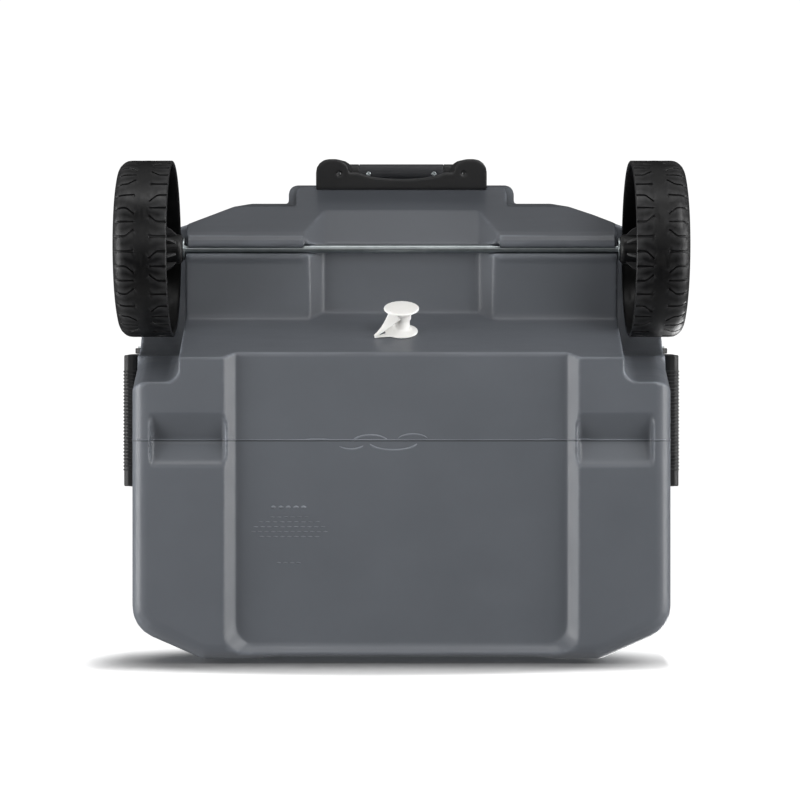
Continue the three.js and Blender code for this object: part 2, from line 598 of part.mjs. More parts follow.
const lidFoam = cut(
  foamTop.intersect(box(-400, 400, -400, 400, PAN.z + PAN.wall + FIT_GAP, 600)).add(
    panPlug(PAN.wall + 0.5, PAN.plugZ + PAN.wall + 0.5, PAN.z + 8)));
add('lid_foam', lidFoam, MATERIAL.foam);
const gasketRing = (t) => stack([RIM_Z + 3.4, PAN.z - FIT_GAP].map((z) => lidRing(z, t)));
add('lid_gasket', cut(gasketRing(24), stack([500, 530].map((z) => lidRing(z, 31)))),
  MATERIAL.rubber);

// ---------------------------------------------------------------- hinges
// Ears stand on the bump's top beside the tow handle's recess and carry the pin high up, so that
// the open lid stays in front of the raised tow handle.
const HINGE = { x: 135, halfWidth: 18, y: 287, z: 556, radius: 6, pin: 2.4 };
const rimRear = REAR_Y + REAR_DRAFT * RIM_Z;
const KNUCKLES = [[-18, -9.2], [-8.8, 8.8], [9.2, 18]];

// A leaf with its own knuckles, each tied to it by an arm, and room for the other leaf's.
function hingeLeaf(plate, arm, owns) {
  const { x, y, z, radius, pin } = HINGE;
  let solid = plate;
  KNUCKLES.forEach(([x0, x1], i) => {
    if (owns(i)) solid = join(solid, rod(radius, 'x', y, z, x + x0, x + x1), arm(x + x0, x + x1));
  });
  KNUCKLES.forEach(([x0, x1], i) => {
    if (!owns(i)) solid = cut(solid, rod(radius + 0.5, 'x', y, z, x + x0 - 0.4, x + x1 + 0.4));
  });
  return cut(solid, rod(pin + 0.2, 'x', y, z, x - 40, x + 40, 12));
}
function hingeBody() {
  const { x, halfWidth, y, z } = HINGE;
  const foot = RIM_Z + FIT_GAP;
  const plate = box(x - halfWidth, x + halfWidth, 280, 301, foot, foot + 3);
  return hingeLeaf(plate, (x0, x1) => box(x0, x1, y - 4, y + 4, foot + 1, z), (i) => i !== 1);
}
function hingeLid() {
  const { x, halfWidth, y, z } = HINGE;
  const plate = box(x - halfWidth, x + halfWidth, rimRear + 1.3, rimRear + 3.9, z - 36, z - 4);
  return hingeLeaf(plate, (x0, x1) => box(x0, x1, rimRear + 2, y, z - 10, z), (i) => i === 1);
}
for (const [label, side] of SIDES) {
  add(`hinge_body_${label}`, flip(hingeBody(), side), MATERIAL.black);
  add(`hinge_lid_${label}`, flip(hingeLid(), side), MATERIAL.black);
  add(`hinge_pin_${label}`, flip(rod(HINGE.pin, 'x', HINGE.y, HINGE.z, HINGE.x - 19,
    HINGE.x + 19, 12), side), MATERIAL.steel);
}

// ---------------------------------------------------------------- latches
const LATCH = { x: 150, y: -331, z: 526, halfWidth: 24 };
const frontY = FRONT_Y - FRONT_DRAFT * RIM_Z;
function latchMount() {
  const { x, y, z } = LATCH;
  const plate = box(x - 34, x + 34, frontY - 3.4, frontY - 1.4, z - 14, z + 14);
  const cheek = prism(rounded([
    [frontY - 2, z - 9], [y - 6.5, z - 6, 5], [y - 6.5, z + 6, 5], [frontY - 2, z + 9],
  ], 3).reverse(), 'x', 25, 33);
  const cheeks = [1, -1].map((s) => flip(cheek, s).translate([x, 0, 0]));
  return cut(join(plate, ...cheeks), rod(2.7, 'x', y, z, x - 50, x + 50, 12));
}
function latchSolid() {
  const { x, y, z, halfWidth } = LATCH;
  const arm = prism(ribbon([
    [y, z], [y, z - 30], [y + 3, z - 48], [y + 2, z - 68], [y - 4, z - 80],
  ], 5), 'x', x - halfWidth, x + halfWidth);
  const hook = box(x - 15, x + 15, y + 3, y + 11, z - 64, z - 58);
  const barrel = rod(6, 'x', y, z, x - halfWidth, x + halfWidth, 16);
  return cut(join(arm, hook, barrel), rod(2.7, 'x', y, z, x - 50, x + 50, 12));
}
function strikeSolid() {
  const { x, z } = LATCH;
  const wall = FRONT_Y + 15;
  const plate = box(x - 22, x + 22, wall - 3.3, wall - 0.3, z - 78, z - 40);
  return join(plate, box(x - 15, x + 15, wall - 16.5, wall - 2, z - 57.4, z - 53));
}
for (const [label, side] of SIDES) {
  add(`latch_mount_${label}`, flip(latchMount(), side), MATERIAL.black);
  add(`latch_${label}`, flip(latchSolid(), side), MATERIAL.black);
  add(`latch_strike_${label}`, flip(strikeSolid(), side), MATERIAL.black);
  add(`latch_pin_${label}`, flip(rod(2.4, 'x', LATCH.y, LATCH.z, LATCH.x - 34.5,
    LATCH.x + 34.5, 12), side), MATERIAL.steel);
}

// The frame's origin is under the middle of the whole object.
const bounds = new THREE.Box3().setFromObject(model);
model.position.y = -(bounds.min.y + bounds.max.y) / 2;

export default model;
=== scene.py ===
"""Wheeled cool box seen from below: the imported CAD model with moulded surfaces, materials and light."""
import json
import math

import bmesh
import bpy
import numpy as np
from mathutils import Matrix, Vector
from mathutils.bvhtree import BVHTree

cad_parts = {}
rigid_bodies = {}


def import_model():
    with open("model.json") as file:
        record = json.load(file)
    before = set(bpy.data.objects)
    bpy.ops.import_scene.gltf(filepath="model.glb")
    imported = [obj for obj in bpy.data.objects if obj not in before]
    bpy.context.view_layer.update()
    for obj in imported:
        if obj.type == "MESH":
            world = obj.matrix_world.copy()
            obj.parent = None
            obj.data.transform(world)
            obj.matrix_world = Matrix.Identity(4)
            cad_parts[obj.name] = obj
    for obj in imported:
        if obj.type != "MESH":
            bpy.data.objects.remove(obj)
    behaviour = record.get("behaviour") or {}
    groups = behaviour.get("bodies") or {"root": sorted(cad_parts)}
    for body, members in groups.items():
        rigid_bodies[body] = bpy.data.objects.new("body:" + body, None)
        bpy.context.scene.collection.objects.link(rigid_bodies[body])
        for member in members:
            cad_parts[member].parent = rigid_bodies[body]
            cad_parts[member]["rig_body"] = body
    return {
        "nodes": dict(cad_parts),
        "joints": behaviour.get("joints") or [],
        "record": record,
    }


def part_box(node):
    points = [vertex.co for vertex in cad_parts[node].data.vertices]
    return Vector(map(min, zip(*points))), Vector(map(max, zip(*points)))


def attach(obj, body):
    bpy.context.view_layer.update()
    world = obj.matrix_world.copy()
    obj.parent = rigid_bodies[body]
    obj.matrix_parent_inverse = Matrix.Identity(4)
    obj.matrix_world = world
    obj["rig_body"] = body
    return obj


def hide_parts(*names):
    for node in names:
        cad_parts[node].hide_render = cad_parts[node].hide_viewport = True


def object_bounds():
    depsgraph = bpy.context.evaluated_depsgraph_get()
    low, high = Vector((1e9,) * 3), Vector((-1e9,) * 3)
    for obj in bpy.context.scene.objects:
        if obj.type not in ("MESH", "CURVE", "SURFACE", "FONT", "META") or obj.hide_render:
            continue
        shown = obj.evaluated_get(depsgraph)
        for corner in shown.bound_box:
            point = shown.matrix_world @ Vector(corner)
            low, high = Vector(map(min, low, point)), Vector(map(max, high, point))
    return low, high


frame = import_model()
cad_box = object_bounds()

MM = 0.001
NODES = frame["nodes"]
JOINTS = {joint["name"]: joint for joint in frame["joints"]}
SCENE = bpy.context.scene

# ------------------------------------------------------------------ camera
# The photograph looks along +Z at the underside, with the wheels at the top of the picture.
CAMERA_DISTANCE = 3.2
CAMERA_LENS = 118.1
CAMERA_SENSOR = 36.0
CAMERA_AIM = (0.0018, 0.0012)


def make_camera():
    data = bpy.data.cameras.new("camera")
    data.lens = CAMERA_LENS
    data.sensor_width = CAMERA_SENSOR
    data.clip_end = 50.0
    camera = bpy.data.objects.new("camera", data)
    SCENE.collection.objects.link(camera)
    right, up, back = Vector((-1, 0, 0)), Vector((0, 1, 0)), Vector((0, 0, -1))
    place = Matrix((right, up, back)).transposed().to_4x4()
    place.translation = Vector((*CAMERA_AIM, -CAMERA_DISTANCE))
    camera.matrix_world = place
    SCENE.camera = camera


# ------------------------------------------------------------------ stage and light
FLOOR_HALF_SIZE = 6.0
FLOOR_GAP = 0.6 * MM  # keeps the floor off the skids, which are seen through it from below
LATCHES_PAST_FLOOR = 15.5 * MM
# The box lies on its front in the photograph, on a floor that is upright in this frame. The floor
# is just in front of the lid's foremost edge, and the latches reach past it.
WALL_FLOOR_Y = cad_box[0][1] + LATCHES_PAST_FLOOR
WALL_FLOOR_TOP = 0.27
WALL_FLOOR_BOTTOM = -2.5


def one_sided_white(name, albedo, centre, reach, core):
    """White that only a camera ray sees, and only from the front: nothing else is blocked by it.
    It takes shadows near its centre. From the core share of its reach on (one length per axis) it
    glows more and more, so that the shadows fade into a plain white surround."""
    material = bpy.data.materials.new(name)
    material.use_nodes = True
    tree = material.node_tree
    tree.nodes.clear()
    out = tree.nodes.new("ShaderNodeOutputMaterial")
    diffuse = tree.nodes.new("ShaderNodeBsdfDiffuse")
    diffuse.inputs["Color"].default_value = (albedo, albedo, albedo, 1)
    place = tree.nodes.new("ShaderNodeTexCoord")
    mapping = tree.nodes.new("ShaderNodeMapping")
    mapping.inputs["Location"].default_value = [-c / r for c, r in zip(centre, reach)]
    mapping.inputs["Scale"].default_value = [1 / r for r in reach]
    distance = tree.nodes.new("ShaderNodeVectorMath")
    distance.operation = "LENGTH"
    glow = tree.nodes.new("ShaderNodeMapRange")
    glow.interpolation_type = "SMOOTHSTEP"
    glow.inputs["From Min"].default_value = core
    emission = tree.nodes.new("ShaderNodeEmission")
    white = tree.nodes.new("ShaderNodeAddShader")
    clear = tree.nodes.new("ShaderNodeBsdfTransparent")
    path = tree.nodes.new("ShaderNodeLightPath")
    facing = tree.nodes.new("ShaderNodeNewGeometry")
    front = tree.nodes.new("ShaderNodeMath")
    front.operation = "SUBTRACT"
    front.use_clamp = True
    mix = tree.nodes.new("ShaderNodeMixShader")
    link = tree.links.new
    link(place.outputs["Object"], mapping.inputs["Vector"])
    link(mapping.outputs[0], distance.inputs[0])
    link(distance.outputs["Value"], glow.inputs["Value"])
    link(glow.outputs[0], emission.inputs["Strength"])
    link(diffuse.outputs[0], white.inputs[0])
    link(emission.outputs[0], white.inputs[1])
    link(path.outputs["Is Camera Ray"], front.inputs[0])
    link(facing.outputs["Backfacing"], front.inputs[1])
    link(front.outputs[0], mix.inputs[0])
    link(clear.outputs[0], mix.inputs[1])
    link(white.outputs[0], mix.inputs[2])
    link(mix.outputs[0], out.inputs[0])
    return material


def stage_plane(name, corners, material):
    mesh = bpy.data.meshes.new(name)
    mesh.from_pydata(corners, [], [(0, 1, 2, 3)])
    mesh.materials.append(material)
    plane = bpy.data.objects.new(name, mesh)
    SCENE.collection.objects.link(plane)
    return plane


def area_light(name, place, aim, size, power, highlight=True):
    """An area light that glossy surfaces show as a highlight, unless highlight is off."""
    data = bpy.data.lights.new(name, "AREA")
    data.shape = "RECTANGLE"
    data.size, data.size_y = size
    data.energy = power
    light = bpy.data.objects.new(name, data)
    SCENE.collection.objects.link(light)
    light.location = place
    light.rotation_mode = "QUATERNION"
    light.rotation_quaternion = (Vector(aim) - Vector(place)).to_track_quat("-Z", "Y")
    light.visible_glossy = highlight
    return light


def group_of(name, objects, state):
    """A light-linking collection that includes or excludes these objects."""
    group = bpy.data.collections.new(name)
    for k, member in enumerate(objects):
        group.objects.link(member)
        group.collection_objects[k].light_linking.link_state = state
    return group


def make_world(seen, sides, poles):
    """White to the camera. What it lights gets brighter light from the sides than from the poles."""
    world = bpy.data.worlds.new("studio")
    SCENE.world = world
    world.use_nodes = True
    tree = world.node_tree
    tree.nodes.clear()
    out = tree.nodes.new("ShaderNodeOutputWorld")
    background = tree.nodes.new("ShaderNodeBackground")
    background.inputs["Color"].default_value = (1, 1, 1, 1)
    direction = tree.nodes.new("ShaderNodeTexCoord")
    split = tree.nodes.new("ShaderNodeSeparateXYZ")
    steep = tree.nodes.new("ShaderNodeMath")
    steep.operation = "ABSOLUTE"
    around = tree.nodes.new("ShaderNodeMapRange")
    around.inputs["From Min"].default_value = 0.1
    around.inputs["From Max"].default_value = 0.75
    around.inputs["To Min"].default_value = sides
    around.inputs["To Max"].default_value = poles
    path = tree.nodes.new("ShaderNodeLightPath")
    strength = tree.nodes.new("ShaderNodeMix")
    strength.inputs["B"].default_value = seen
    link = tree.links.new
    link(direction.outputs["Generated"], split.inputs[0])
    link(split.outputs["Z"], steep.inputs[0])
    link(steep.outputs[0], around.inputs["Value"])
    link(path.outputs["Is Camera Ray"], strength.inputs["Factor"])
    link(around.outputs[0], strength.inputs["A"])
    link(strength.outputs["Result"], background.inputs["Strength"])
    link(background.outputs[0], out.inputs[0])


def make_floor():
    """The floor that the standing box is seen on from above."""
    size, z = FLOOR_HALF_SIZE, -FLOOR_GAP
    corners = [(-size, -size, z), (size, -size, z), (size, size, z), (-size, size, z)]
    white = one_sided_white("floor_white", 0.9, centre=(0, 0, 0), reach=(1, 1, 1), core=0.45)
    return stage_plane("floor", corners, white)


def make_photo_floor():
    """The upright floor behind the front wall, which takes the shadow in the photograph."""
    size, y, top, bottom = FLOOR_HALF_SIZE, WALL_FLOOR_Y, WALL_FLOOR_TOP, WALL_FLOOR_BOTTOM
    corners = [(-size, y, top), (size, y, top), (size, y, bottom), (-size, y, bottom)]
    white = one_sided_white("photo_floor_white", 0.7,
                            centre=(0.035, y, 0.03), reach=(0.46, 1, 0.24), core=0.55)
    return stage_plane("photo_floor", corners, white)


def make_stage():
    """Both floors, the world and the lights. Each floor has a light of its own."""
    floor = make_floor()
    photo_floor = make_photo_floor()
    make_world(seen=1.05, sides=0.6, poles=0.05)
    middle = (0, 0, 0.1)
    on_object = [
        area_light("key_below", (-1.8, 2.0, -2.1), middle, (1.3, 1.3), 38),
        area_light("fill_below", (0.5, 1.0, -3.0), middle, (1.6, 1.6), 9),
        area_light("rear_below", (0.3, 3.0, -1.0), middle, (2.2, 0.8), 18),
        area_light("side_left", (2.4, -0.2, -0.5), middle, (1.2, 1.6), 62, highlight=False),
        area_light("side_right", (-2.4, 0.2, -0.45), middle, (1.2, 1.6), 44, highlight=False),
        area_light("sheen_left", (2.5, 0.1, -0.9), middle, (1.8, 2.2), 44),
        area_light("sheen_right", (-2.5, 0.1, -0.9), middle, (1.8, 2.2), 44),
        area_light("key_above", (-1.8, -2.0, 3.0), middle, (1.8, 1.8), 70),
    ]
    off_floor = group_of("off_the_photo_floor", [photo_floor], "EXCLUDE")
    for light in on_object:
        light.light_linking.receiver_collection = off_floor
    overhead = area_light("overhead", (-0.35, 6.0, 2.5), (-0.05, -0.3, -0.1), (1.3, 4.2), 860)
    overhead.light_linking.receiver_collection = group_of("on_the_photo_floor", [photo_floor], "INCLUDE")
    top = area_light("floor_top", (-0.9, -0.6, 3.4), (0, 0, 0), (2.4, 2.4), 120)
    top.light_linking.receiver_collection = group_of("on_the_floor", [floor], "INCLUDE")
    SCENE.view_settings.view_transform = "Standard"
    return on_object


# ------------------------------------------------------------------ materials
class Shader:
    """A Principled material and the few node chains that every material here shares."""

    def __init__(self, name):
        self.material = bpy.data.materials.new(name)
        self.material.use_nodes = True
        self.tree = self.material.node_tree
        self.principled = self.tree.nodes["Principled BSDF"]
        self.place = self.tree.nodes.new("ShaderNodeTexCoord").outputs["Object"]

    def set(self, **values):
        for name, value in values.items():
            self.principled.inputs[name.replace("_", " ")].default_value = value

    def link(self, source, socket):
        self.tree.links.new(source, socket)

    def noise(self, scale, detail=3.0, rough=0.5, stretch=(1, 1, 1)):
        """Noise from 0 to 1, with scale in lumps per metre, longer along an axis stretched below 1."""
        mapping = self.tree.nodes.new("ShaderNodeMapping")
        mapping.inputs["Scale"].default_value = stretch
        texture = self.tree.nodes.new("ShaderNodeTexNoise")
        texture.inputs["Scale"].default_value = scale
        texture.inputs["Detail"].default_value = detail
        texture.inputs["Roughness"].default_value = rough
        self.link(self.place, mapping.inputs["Vector"])
        self.link(mapping.outputs[0], texture.inputs["Vector"])
        return texture.outputs[0]

    def ramp(self, source, low, high, to_low, to_high):
        node = self.tree.nodes.new("ShaderNodeMapRange")
        node.inputs["From Min"].default_value = low
        node.inputs["From Max"].default_value = high
        node.inputs["To Min"].default_value = to_low
        node.inputs["To Max"].default_value = to_high
        self.link(source, node.inputs["Value"])
        return node.outputs[0]

    def mix(self, factor, first, second):
        node = self.tree.nodes.new("ShaderNodeMix")
        node.data_type = "RGBA"
        self.link(factor, node.inputs[0])
        for socket, value in ((node.inputs[6], first), (node.inputs[7], second)):
            if isinstance(value, tuple):
                socket.default_value = (*value, 1)
            else:
                self.link(value, socket)
        return node.outputs[2]

    def product(self, first, second):
        node = self.tree.nodes.new("ShaderNodeMath")
        node.operation = "MULTIPLY"
        self.link(first, node.inputs[0])
        self.link(second, node.inputs[1])
        return node.outputs[0]

    def near_y(self, y, width):
        """1 in a narrow band where the object's Y is y, fading to 0 at its sides."""
        split = self.tree.nodes.new("ShaderNodeSeparateXYZ")
        self.link(self.place, split.inputs[0])
        away = self.tree.nodes.new("ShaderNodeMath")
        away.operation = "ABSOLUTE"
        shift = self.tree.nodes.new("ShaderNodeMath")
        shift.operation = "SUBTRACT"
        shift.inputs[1].default_value = y
        self.link(split.outputs[1], shift.inputs[0])
        self.link(shift.outputs[0], away.inputs[0])
        return self.ramp(away.outputs[0], width * 0.4, width, 1.0, 0.0)

    def edges(self, low, high):
        """1 along convex edges; the lightening it drives is partly wear and partly painted highlight."""
        pointed = self.tree.nodes.new("ShaderNodeNewGeometry").outputs["Pointiness"]
        return self.ramp(pointed, low, high, 0.0, 1.0)

    def colour(self, source):
        self.link(source, self.principled.inputs["Base Color"])

    def roughness(self, source):
        self.link(source, self.principled.inputs["Roughness"])

    def bump(self, *layers):
        """Each layer is (height source, depth in millimetres)."""
        normal = None
        for source, depth in layers:
            node = self.tree.nodes.new("ShaderNodeBump")
            node.inputs["Distance"].default_value = depth * MM
            self.link(source, node.inputs["Height"])
            if normal:
                self.link(normal, node.inputs["Normal"])
            normal = node.outputs[0]
        self.link(normal, self.principled.inputs["Normal"])


def tinted(colour, share):
    return tuple(min(1.0, channel * share) for channel in colour)


def moulded_plastic(name, colour, roughness, grain, mottle=0.12, edge_wear_and_highlight=0.0, crease_shade_y=None):
    """Blow-moulded or injected plastic: fine grain, faint mottling, uneven sheen, and convex edges lightened
    in patches, partly as wear and partly as painted highlight.
    """
    shader = Shader(name)
    broad = shader.noise(9.0, 4.0, 0.6)
    fine = shader.noise(1400.0, 2.0, 0.55)
    streaks = shader.noise(60.0, 3.0, 0.6, stretch=(0.15, 1.0, 0.6))
    base = shader.mix(shader.ramp(broad, 0.3, 0.7, 0.0, 1.0),
                      tinted(colour, 1 - mottle), tinted(colour, 1 + mottle))
    # Lightened convex edges: partly wear, partly painted highlight.
    if edge_wear_and_highlight:
        wear_and_highlight_patches = shader.product(shader.edges(0.507, 0.54), shader.ramp(streaks, 0.4, 0.65, 0.2, 1.0))
        base = shader.mix(wear_and_highlight_patches, base, tinted(colour, 1 + edge_wear_and_highlight))
    # A narrow band just beside the seam is darkened: painted shade of the seam's crease.
    if crease_shade_y is not None:
        base = shader.mix(shader.near_y(crease_shade_y, CREASE_SHADE_WIDTH), base, tinted(colour, 0.35))
    shader.colour(base)
    shader.roughness(shader.ramp(streaks, 0.3, 0.7, roughness - 0.05, roughness + 0.06))
    shader.bump((shader.noise(170.0, 2.0), 0.05), (fine, grain))
    return shader.material


def tyre_plastic():
    """Black blow-moulded wheel: dusty greyish film in broad patches, a shine where it is clean, and convex
    edges lightened as painted highlight.
    """
    shader = Shader("tyre_plastic")
    shader.set(Specular_IOR_Level=0.3)
    dust = shader.noise(26.0, 5.0, 0.65)
    scuffs = shader.noise(220.0, 3.0, 0.6, stretch=(1.0, 0.25, 0.25))
    base = shader.mix(shader.ramp(dust, 0.5, 0.75, 0.0, 1.0),
                      (0.0028, 0.0028, 0.0031), (0.0068, 0.0066, 0.0065))
    # Convex edges of the tread are lightened: painted highlight.
    shader.colour(shader.mix(shader.edges(0.512, 0.57), base, (0.036, 0.036, 0.037)))
    shader.roughness(shader.ramp(scuffs, 0.3, 0.7, 0.28, 0.46))
    shader.bump((scuffs, 0.06), (shader.noise(900.0, 2.0), 0.03))
    return shader.material


def soft_grip():
    """Matt rubbery sleeve with a fine stipple."""
    shader = Shader("soft_grip")
    stipple = shader.noise(2600.0, 1.0, 0.4)
    shader.colour(shader.mix(shader.noise(40.0, 3.0), (0.013, 0.0135, 0.0155), (0.021, 0.022, 0.025)))
    shader.roughness(shader.ramp(stipple, 0.3, 0.7, 0.42, 0.6))
    shader.bump((stipple, 0.06))
    return shader.material


def drawn_metal(name, colour, roughness, along):
    """Drawn or plated metal: fine lines along one axis and dull blotches."""
    shader = Shader(name)
    lines = shader.noise(900.0, 3.0, 0.6, stretch=tuple(0.02 if k == along else 1.0 for k in range(3)))
    blotch = shader.noise(55.0, 4.0, 0.6)
    shader.set(Metallic=1.0)
    shader.colour(shader.mix(shader.ramp(blotch, 0.35, 0.7, 0.0, 1.0), tinted(colour, 0.82), colour))
    shader.roughness(shader.ramp(lines, 0.3, 0.7, roughness - 0.07, roughness + 0.1))
    shader.bump((lines, 0.02))
    return shader.material


def white_polythene():
    """Waxy white plastic that lets a little light through."""
    shader = Shader("white_polythene")
    soft = shader.noise(120.0, 3.0, 0.5)
    shader.set(Subsurface_Weight=0.12, Subsurface_Scale=0.004)
    shader.principled.inputs["Subsurface Radius"].default_value = (1.0, 0.9, 0.8)
    shader.colour(shader.mix(soft, (0.80, 0.79, 0.765), (0.86, 0.85, 0.825)))
    shader.roughness(shader.ramp(soft, 0.3, 0.7, 0.38, 0.5))
    shader.bump((shader.noise(700.0, 2.0), 0.03))
    return shader.material


def rigid_foam():
    """Poured insulating foam with open cells."""
    shader = Shader("rigid_foam")
    cells = shader.tree.nodes.new("ShaderNodeTexVoronoi")
    cells.inputs["Scale"].default_value = 500.0
    shader.link(shader.place, cells.inputs["Vector"])
    shader.colour(shader.mix(cells.outputs["Distance"], (0.52, 0.40, 0.17), (0.72, 0.60, 0.32)))
    shader.roughness(shader.ramp(shader.noise(80.0), 0.3, 0.7, 0.8, 0.95))
    shader.bump((cells.outputs["Distance"], 0.5))
    return shader.material


PARTING_Y = -0.0476  # where the two halves of the body's mould meet
# The painted shade beside the seam: its width, and how far it lies from the seam.
CREASE_SHADE_WIDTH = 0.9 * MM
CREASE_SHADE_OFFSET = 1.2 * MM
BODY_GREY = (0.086, 0.093, 0.105)
LID_GREY = (0.080, 0.087, 0.095)
LINER_WHITE = (0.78, 0.78, 0.76)
FITTING_BLACK = (0.008, 0.008, 0.0085)
MATERIALS = {
    # Edges of the body, lid and black fittings are lightened partly as wear and partly as painted highlight;
    # the body also gets a painted shade beside its seam.
    "body_plastic": moulded_plastic("body_moulding", BODY_GREY, 0.36, 0.03, mottle=0.05, edge_wear_and_highlight=0.8,
                                    crease_shade_y=PARTING_Y - CREASE_SHADE_OFFSET),
    "lid_plastic": moulded_plastic("lid_moulding", LID_GREY, 0.42, 0.05, mottle=0.06, edge_wear_and_highlight=0.25),
    "liner_plastic": moulded_plastic("liner_white", LINER_WHITE, 0.3, 0.02, mottle=0.03),
    "foam": rigid_foam(),
    "white_plastic": white_polythene(),
    "zinc_steel": drawn_metal("zinc_steel", (0.46, 0.50, 0.51), 0.34, along=0),
    "wheel_plastic": tyre_plastic(),
    "black_plastic": moulded_plastic("black_moulding", FITTING_BLACK, 0.42, 0.05, mottle=0.2, edge_wear_and_highlight=0.9),
    "soft_rubber": soft_grip(),
    "tube_aluminium": drawn_metal("tube_aluminium", (0.62, 0.63, 0.64), 0.3, along=2),
}
SLOT_OF = {part["node"]: part["material_slot"] for part in frame["record"]["subparts"]}


# ------------------------------------------------------------------ mesh helpers
def piece(name, mesh, body, slot, sharp=35.0, replaces=()):
    """A finished mesh as a piece of the object: smooth shaded, with its slot's material, on its body."""
    mesh.materials.clear()
    mesh.materials.append(MATERIALS[slot])
    mesh.shade_smooth()
    mesh.set_sharp_from_angle(angle=math.radians(sharp))
    made = bpy.data.objects.new(name, mesh)
    SCENE.collection.objects.link(made)
    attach(made, body)
    if replaces:
        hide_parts(*replaces)
    return made


def mesh_from(name, points, faces):
    mesh = bpy.data.meshes.new(name)
    mesh.from_pydata([tuple(p) for p in points], [], faces)
    mesh.validate()
    mesh.update()
    return mesh


def welded(node):
    """A copy of a CAD node's mesh with its split corners joined again."""
    work = bmesh.new()
    work.from_mesh(NODES[node].data)
    bmesh.ops.remove_doubles(work, verts=work.verts, dist=2e-6)
    return work


def facing_out(mesh, fill=False):
    """Turns the faces outwards, and caps open ends if asked."""
    work = bmesh.new()
    work.from_mesh(mesh)
    if fill:
        bmesh.ops.holes_fill(work, edges=[edge for edge in work.edges if edge.is_boundary], sides=0)
    bmesh.ops.recalc_face_normals(work, faces=work.faces)
    work.to_mesh(mesh)
    work.free()


def evaluated(mesh, modifiers):
    """The mesh after a list of (modifier type, settings)."""
    holder = bpy.data.objects.new("holder", mesh)
    SCENE.collection.objects.link(holder)
    for kind, settings in modifiers:
        modifier = holder.modifiers.new(kind, kind)
        for key, value in settings.items():
            setattr(modifier, key, value)
    graph = bpy.context.evaluated_depsgraph_get()
    result = bpy.data.meshes.new_from_object(holder.evaluated_get(graph))
    bpy.data.objects.remove(holder)
    return result


def evened(mesh, voxel, rounds):
    """An even mesh with every edge rounded: more rounds give a larger radius."""
    return evaluated(mesh, [
        ("REMESH", {"mode": "VOXEL", "voxel_size": voxel}),
        ("SMOOTH", {"factor": 0.5, "iterations": rounds}),
        ("TRIANGULATE", {}),
    ])


def thinned(mesh, triangles):
    """The mesh with fewer triangles, kept where the surface bends."""
    share = min(1.0, triangles / max(1, len(mesh.polygons)))
    return evaluated(mesh, [("DECIMATE", {"ratio": share})])


def remeshed(mesh, voxel, rounds, triangles):
    return thinned(evened(mesh, voxel, rounds), triangles)


def mirrored(mesh, name):
    copy = mesh.copy()
    copy.name = name
    copy.transform(Matrix.Scale(-1, 4, (1, 0, 0)))
    copy.flip_normals()
    return copy


def soften(node, voxel, rounds, triangles=30000):
    """Replaces a CAD node by the same solid with moulded edges."""
    work = welded(node)
    mesh = bpy.data.meshes.new(node + "_moulded")
    work.to_mesh(mesh)
    work.free()
    mesh = remeshed(mesh, voxel, rounds, triangles)
    mesh.name = node + "_moulded"
    piece(node + "_moulded", mesh, NODES[node]["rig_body"], SLOT_OF[node], replaces=[node])
    return mesh


def soften_pair(stem, voxel, rounds, triangles=30000, tail=""):
    """The left piece softened, and its mirror image on the right."""
    mesh = soften(f"{stem}_left{tail}", voxel, rounds, triangles)
    right = f"{stem}_right{tail}"
    piece(right + "_moulded", mirrored(mesh, right), NODES[right]["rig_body"], SLOT_OF[right],
          replaces=[right])


def lathe(profile, sides, centre):
    """Points and faces of [radius, X] corners turned about the X axis through centre (Y, Z)."""
    points = []
    for r, x in profile:
        for a in np.arange(sides) * 2 * math.pi / sides:
            points.append((x, centre[0] + r * math.cos(a), centre[1] + r * math.sin(a)))
    faces = []
    for i in range(len(profile) - 1):
        j = i + 1
        for k in range(sides):
            n = (k + 1) % sides
            faces.append((i * sides + k, j * sides + k, j * sides + n, i * sides + n))
    return points, faces


def joined(name, parts):
    """One mesh out of several (points, faces) parts."""
    points, faces = [], []
    for part_points, part_faces in parts:
        first = len(points)
        points.extend(part_points)
        faces.extend(tuple(i + first for i in face) for face in part_faces)
    mesh = mesh_from(name, points, faces)
    return evaluated(mesh, [("WELD", {"merge_threshold": 1e-6})])


def tube_of_loops(loops):
    """Skins a list of equal closed loops of points, capped at both ends."""
    count = len(loops[0])
    points = [p for loop in loops for p in loop]
    faces = []
    for i in range(len(loops) - 1):
        for k in range(count):
            n = (k + 1) % count
            faces.append((i * count + k, i * count + n, (i + 1) * count + n, (i + 1) * count + k))
    faces.append(tuple(range(count))[::-1])
    faces.append(tuple((len(loops) - 1) * count + k for k in range(count)))
    return points, faces


# ------------------------------------------------------------------ the moulded body
BODY_VOXEL = 2.3 * MM
BODY_ROUNDS = 3
BODY_TRIANGLES = 90000
SHELL_WALL = 3.0 * MM
FOAM_NEAR = 4 * MM  # the foam lies this close to the faces it hides
TUB_MIN_DEPTH = 15 * MM
RIM_BAND = 3 * MM


def tree_of(node):
    work = welded(node)
    tree = BVHTree.FromBMesh(work)
    work.free()
    return tree


def outside_of(node, backing, reach):
    """The node's outer skin, without the faces that have the backing node close in front of them."""
    work = welded(node)
    behind = tree_of(backing)
    hidden = []
    for face in work.faces:
        start = face.calc_center_median() + face.normal * 1e-5
        if behind.ray_cast(start, face.normal, reach)[0] is not None:
            hidden.append(face)
    bmesh.ops.delete(work, geom=hidden, context="FACES")
    bmesh.ops.holes_fill(work, edges=[edge for edge in work.edges if edge.is_boundary], sides=0)
    bmesh.ops.recalc_face_normals(work, faces=work.faces)
    mesh = bpy.data.meshes.new(node + "_outside")
    work.to_mesh(mesh)
    work.free()
    return mesh


